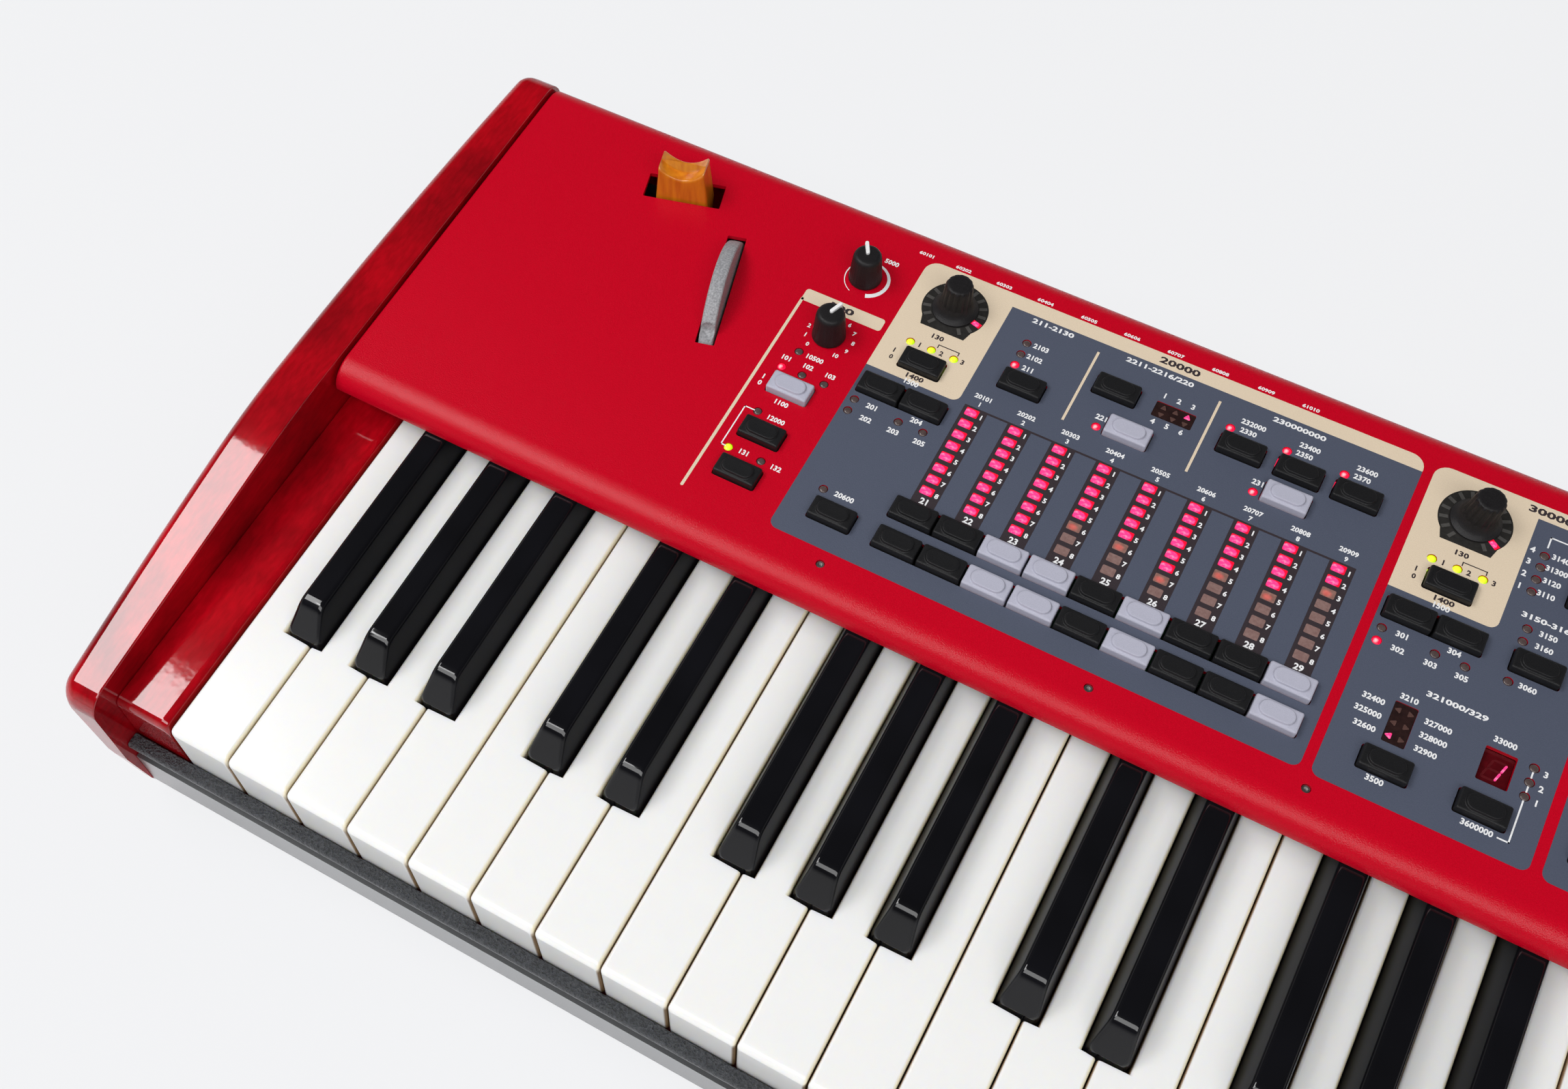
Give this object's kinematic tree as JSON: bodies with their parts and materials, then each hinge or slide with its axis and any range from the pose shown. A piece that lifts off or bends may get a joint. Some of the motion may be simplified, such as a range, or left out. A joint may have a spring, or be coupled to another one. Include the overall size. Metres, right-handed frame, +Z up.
{
  "type": "stage piano",
  "caption": "Stage piano with waterfall keys, red folded panel, lacquered end cheeks, pitch stick, mod wheel, knobs and drawbar-style buttons; keys, stick, wheel, knobs and buttons move",
  "frame": {"origin": "on the floor under the middle of the instrument's length and depth", "axes": "+X along the keys from low to high, +Y from the player to the rear, +Z up"},
  "size_m": [1.0934, 0.3006, 0.102],
  "materials": {
    "red_panel": "satin",
    "red_wood": "gloss",
    "black_steel": "satin",
    "black_plastic": "matte",
    "white_key": "gloss",
    "black_key": "gloss",
    "grey_rubber": "matte",
    "honey_wood": "satin",
    "grey_stone": "matte",
    "zinc_steel": "satin",
    "circuit_board": "satin",
    "red_felt": "matte",
    "rubber": "matte"
  },
  "bodies": {
    "case": {"bottom_pan": "black_steel", "front_rail": "black_plastic", "top_panel": "red_panel", "left_end_cheek": "red_wood", "right_end_cheek": "red_wood", "left_key_block": "red_wood", "right_key_block": "red_wood", "key_frame": "zinc_steel", "key_stop_felt": "red_felt", "white_key_bar": "white_key", "black_key_bar": "black_key", "control_board": "circuit_board", "main_board": "circuit_board", "power_supply": "zinc_steel", "pitch_stick_bracket": "zinc_steel", "mod_wheel_bracket": "zinc_steel", "front_left_foot": "rubber", "front_right_foot": "rubber", "rear_left_foot": "rubber", "rear_right_foot": "rubber"},
    "white_key_01": {"white_key_01": "white_key"},
    "white_key_02": {"white_key_02": "white_key"},
    "white_key_03": {"white_key_03": "white_key"},
    "white_key_04": {"white_key_04": "white_key"},
    "white_key_05": {"white_key_05": "white_key"},
    "white_key_06": {"white_key_06": "white_key"},
    "white_key_07": {"white_key_07": "white_key"},
    "white_key_08": {"white_key_08": "white_key"},
    "white_key_09": {"white_key_09": "white_key"},
    "white_key_10": {"white_key_10": "white_key"},
    "white_key_11": {"white_key_11": "white_key"},
    "white_key_12": {"white_key_12": "white_key"},
    "white_key_13": {"white_key_13": "white_key"},
    "white_key_14": {"white_key_14": "white_key"},
    "black_key_01": {"black_key_01": "black_key"},
    "black_key_02": {"black_key_02": "black_key"},
    "black_key_03": {"black_key_03": "black_key"},
    "black_key_04": {"black_key_04": "black_key"},
    "black_key_05": {"black_key_05": "black_key"},
    "black_key_06": {"black_key_06": "black_key"},
    "black_key_07": {"black_key_07": "black_key"},
    "black_key_08": {"black_key_08": "black_key"},
    "black_key_09": {"black_key_09": "black_key"},
    "black_key_10": {"black_key_10": "black_key"},
    "pitch_stick": {"pitch_stick": "honey_wood"},
    "mod_wheel": {"mod_wheel": "grey_stone"},
    "master_level_knob": {"master_level_knob": "black_plastic"},
    "drive_knob": {"drive_knob": "black_plastic"},
    "organ_level_dial": {"organ_level_dial": "black_plastic"},
    "piano_level_dial": {"piano_level_dial": "black_plastic"},
    "rotor_source_button": {"rotor_source_button": "grey_rubber"},
    "rotor_stop_button": {"rotor_stop_button": "black_plastic"},
    "rotor_speed_button": {"rotor_speed_button": "black_plastic"},
    "organ_zone_button": {"organ_zone_button": "black_plastic"},
    "organ_octave_down_button": {"organ_octave_down_button": "black_plastic"},
    "organ_octave_up_button": {"organ_octave_up_button": "black_plastic"},
    "organ_model_button": {"organ_model_button": "black_plastic"},
    "vibrato_type_button": {"vibrato_type_button": "black_plastic"},
    "vibrato_on_button": {"vibrato_on_button": "grey_rubber"},
    "percussion_on_button": {"percussion_on_button": "grey_rubber"}
  },
  "joints": [
    {"name": "white_key_01_hinge", "type": "hinge", "parent": "case", "child": "white_key_01", "pos_m": [-0.4935, 0.01475, 0.06], "axis": [1, 0, 0], "range_deg": [0, 3.67], "stiffness_Nm_per_rad": 0.8, "springref_deg": -4.3},
    {"name": "white_key_02_hinge", "type": "hinge", "parent": "case", "child": "white_key_02", "pos_m": [-0.47, 0.01475, 0.06], "axis": [1, 0, 0], "range_deg": [0, 3.67], "stiffness_Nm_per_rad": 0.8, "springref_deg": -4.3},
    {"name": "white_key_03_hinge", "type": "hinge", "parent": "case", "child": "white_key_03", "pos_m": [-0.4465, 0.01475, 0.06], "axis": [1, 0, 0], "range_deg": [0, 3.67], "stiffness_Nm_per_rad": 0.8, "springref_deg": -4.3},
    {"name": "white_key_04_hinge", "type": "hinge", "parent": "case", "child": "white_key_04", "pos_m": [-0.423, 0.01475, 0.06], "axis": [1, 0, 0], "range_deg": [0, 3.67], "stiffness_Nm_per_rad": 0.8, "springref_deg": -4.3},
    {"name": "white_key_05_hinge", "type": "hinge", "parent": "case", "child": "white_key_05", "pos_m": [-0.3995, 0.01475, 0.06], "axis": [1, 0, 0], "range_deg": [0, 3.67], "stiffness_Nm_per_rad": 0.8, "springref_deg": -4.3},
    {"name": "white_key_06_hinge", "type": "hinge", "parent": "case", "child": "white_key_06", "pos_m": [-0.376, 0.01475, 0.06], "axis": [1, 0, 0], "range_deg": [0, 3.67], "stiffness_Nm_per_rad": 0.8, "springref_deg": -4.3},
    {"name": "white_key_07_hinge", "type": "hinge", "parent": "case", "child": "white_key_07", "pos_m": [-0.3525, 0.01475, 0.06], "axis": [1, 0, 0], "range_deg": [0, 3.67], "stiffness_Nm_per_rad": 0.8, "springref_deg": -4.3},
    {"name": "white_key_08_hinge", "type": "hinge", "parent": "case", "child": "white_key_08", "pos_m": [-0.329, 0.01475, 0.06], "axis": [1, 0, 0], "range_deg": [0, 3.67], "stiffness_Nm_per_rad": 0.8, "springref_deg": -4.3},
    {"name": "white_key_09_hinge", "type": "hinge", "parent": "case", "child": "white_key_09", "pos_m": [-0.3055, 0.01475, 0.06], "axis": [1, 0, 0], "range_deg": [0, 3.67], "stiffness_Nm_per_rad": 0.8, "springref_deg": -4.3},
    {"name": "white_key_10_hinge", "type": "hinge", "parent": "case", "child": "white_key_10", "pos_m": [-0.282, 0.01475, 0.06], "axis": [1, 0, 0], "range_deg": [0, 3.67], "stiffness_Nm_per_rad": 0.8, "springref_deg": -4.3},
    {"name": "white_key_11_hinge", "type": "hinge", "parent": "case", "child": "white_key_11", "pos_m": [-0.2585, 0.01475, 0.06], "axis": [1, 0, 0], "range_deg": [0, 3.67], "stiffness_Nm_per_rad": 0.8, "springref_deg": -4.3},
    {"name": "white_key_12_hinge", "type": "hinge", "parent": "case", "child": "white_key_12", "pos_m": [-0.235, 0.01475, 0.06], "axis": [1, 0, 0], "range_deg": [0, 3.67], "stiffness_Nm_per_rad": 0.8, "springref_deg": -4.3},
    {"name": "white_key_13_hinge", "type": "hinge", "parent": "case", "child": "white_key_13", "pos_m": [-0.2115, 0.01475, 0.06], "axis": [1, 0, 0], "range_deg": [0, 3.67], "stiffness_Nm_per_rad": 0.8, "springref_deg": -4.3},
    {"name": "white_key_14_hinge", "type": "hinge", "parent": "case", "child": "white_key_14", "pos_m": [-0.188, 0.01475, 0.06], "axis": [1, 0, 0], "range_deg": [0, 3.67], "stiffness_Nm_per_rad": 0.8, "springref_deg": -4.3},
    {"name": "black_key_01_hinge", "type": "hinge", "parent": "case", "child": "black_key_01", "pos_m": [-0.4935, 0.01475, 0.06], "axis": [1, 0, 0], "range_deg": [0, 3.67], "stiffness_Nm_per_rad": 0.8, "springref_deg": -4.3},
    {"name": "black_key_02_hinge", "type": "hinge", "parent": "case", "child": "black_key_02", "pos_m": [-0.47, 0.01475, 0.06], "axis": [1, 0, 0], "range_deg": [0, 3.67], "stiffness_Nm_per_rad": 0.8, "springref_deg": -4.3},
    {"name": "black_key_03_hinge", "type": "hinge", "parent": "case", "child": "black_key_03", "pos_m": [-0.4465, 0.01475, 0.06], "axis": [1, 0, 0], "range_deg": [0, 3.67], "stiffness_Nm_per_rad": 0.8, "springref_deg": -4.3},
    {"name": "black_key_04_hinge", "type": "hinge", "parent": "case", "child": "black_key_04", "pos_m": [-0.3995, 0.01475, 0.06], "axis": [1, 0, 0], "range_deg": [0, 3.67], "stiffness_Nm_per_rad": 0.8, "springref_deg": -4.3},
    {"name": "black_key_05_hinge", "type": "hinge", "parent": "case", "child": "black_key_05", "pos_m": [-0.376, 0.01475, 0.06], "axis": [1, 0, 0], "range_deg": [0, 3.67], "stiffness_Nm_per_rad": 0.8, "springref_deg": -4.3},
    {"name": "black_key_06_hinge", "type": "hinge", "parent": "case", "child": "black_key_06", "pos_m": [-0.329, 0.01475, 0.06], "axis": [1, 0, 0], "range_deg": [0, 3.67], "stiffness_Nm_per_rad": 0.8, "springref_deg": -4.3},
    {"name": "black_key_07_hinge", "type": "hinge", "parent": "case", "child": "black_key_07", "pos_m": [-0.3055, 0.01475, 0.06], "axis": [1, 0, 0], "range_deg": [0, 3.67], "stiffness_Nm_per_rad": 0.8, "springref_deg": -4.3},
    {"name": "black_key_08_hinge", "type": "hinge", "parent": "case", "child": "black_key_08", "pos_m": [-0.282, 0.01475, 0.06], "axis": [1, 0, 0], "range_deg": [0, 3.67], "stiffness_Nm_per_rad": 0.8, "springref_deg": -4.3},
    {"name": "black_key_09_hinge", "type": "hinge", "parent": "case", "child": "black_key_09", "pos_m": [-0.235, 0.01475, 0.06], "axis": [1, 0, 0], "range_deg": [0, 3.67], "stiffness_Nm_per_rad": 0.8, "springref_deg": -4.3},
    {"name": "black_key_10_hinge", "type": "hinge", "parent": "case", "child": "black_key_10", "pos_m": [-0.2115, 0.01475, 0.06], "axis": [1, 0, 0], "range_deg": [0, 3.67], "stiffness_Nm_per_rad": 0.8, "springref_deg": -4.3},
    {"name": "pitch_stick_hinge", "type": "hinge", "parent": "case", "child": "pitch_stick", "pos_m": [-0.45735, 0.12405, 0.057], "axis": [-0.2504, 0.9681, 0], "range_deg": [-7.5, 7.5], "stiffness_Nm_per_rad": 0.3},
    {"name": "mod_wheel_hinge", "type": "hinge", "parent": "case", "child": "mod_wheel", "pos_m": [-0.42335, 0.08975, 0.0677], "axis": [0.9681, 0.2504, 0], "range_deg": [-88, 0]},
    {"name": "master_level_knob_hinge", "type": "hinge", "parent": "case", "child": "master_level_knob", "pos_m": [-0.38025, 0.11845, 0.087], "axis": [0, 0, 1], "range_deg": [-180, 120]},
    {"name": "drive_knob_hinge", "type": "hinge", "parent": "case", "child": "drive_knob", "pos_m": [-0.38025, 0.08955, 0.087], "axis": [0, 0, 1], "range_deg": [-130, 170]},
    {"name": "organ_level_dial_hinge", "type": "hinge", "parent": "case", "child": "organ_level_dial", "pos_m": [-0.34605, 0.12055, 0.087], "axis": [0, 0, 1], "continuous": true},
    {"name": "piano_level_dial_hinge", "type": "hinge", "parent": "case", "child": "piano_level_dial", "pos_m": [-0.16195, 0.12055, 0.087], "axis": [0, 0, 1], "continuous": true},
    {"name": "rotor_source_button_slide", "type": "slide", "parent": "case", "child": "rotor_source_button", "axis": [0, 0, -1], "range_m": [0, 0.0008], "stiffness_N_per_m": 1000, "springref_m": -0.0005},
    {"name": "rotor_stop_button_slide", "type": "slide", "parent": "case", "child": "rotor_stop_button", "axis": [0, 0, -1], "range_m": [0, 0.0008], "stiffness_N_per_m": 1000, "springref_m": -0.0005},
    {"name": "rotor_speed_button_slide", "type": "slide", "parent": "case", "child": "rotor_speed_button", "axis": [0, 0, -1], "range_m": [0, 0.0008], "stiffness_N_per_m": 1000, "springref_m": -0.0005},
    {"name": "organ_zone_button_slide", "type": "slide", "parent": "case", "child": "organ_zone_button", "axis": [0, 0, -1], "range_m": [0, 0.0008], "stiffness_N_per_m": 1000, "springref_m": -0.0005},
    {"name": "organ_octave_down_button_slide", "type": "slide", "parent": "case", "child": "organ_octave_down_button", "axis": [0, 0, -1], "range_m": [0, 0.0008], "stiffness_N_per_m": 1000, "springref_m": -0.0005},
    {"name": "organ_octave_up_button_slide", "type": "slide", "parent": "case", "child": "organ_octave_up_button", "axis": [0, 0, -1], "range_m": [0, 0.0008], "stiffness_N_per_m": 1000, "springref_m": -0.0005},
    {"name": "organ_model_button_slide", "type": "slide", "parent": "case", "child": "organ_model_button", "axis": [0, 0, -1], "range_m": [0, 0.0008], "stiffness_N_per_m": 1000, "springref_m": -0.0005},
    {"name": "vibrato_type_button_slide", "type": "slide", "parent": "case", "child": "vibrato_type_button", "axis": [0, 0, -1], "range_m": [0, 0.0008], "stiffness_N_per_m": 1000, "springref_m": -0.0005},
    {"name": "vibrato_on_button_slide", "type": "slide", "parent": "case", "child": "vibrato_on_button", "axis": [0, 0, -1], "range_m": [0, 0.0008], "stiffness_N_per_m": 1000, "springref_m": -0.0005},
    {"name": "percussion_on_button_slide", "type": "slide", "parent": "case", "child": "percussion_on_button", "axis": [0, 0, -1], "range_m": [0, 0.0008], "stiffness_N_per_m": 1000, "springref_m": -0.0005}
  ]
}
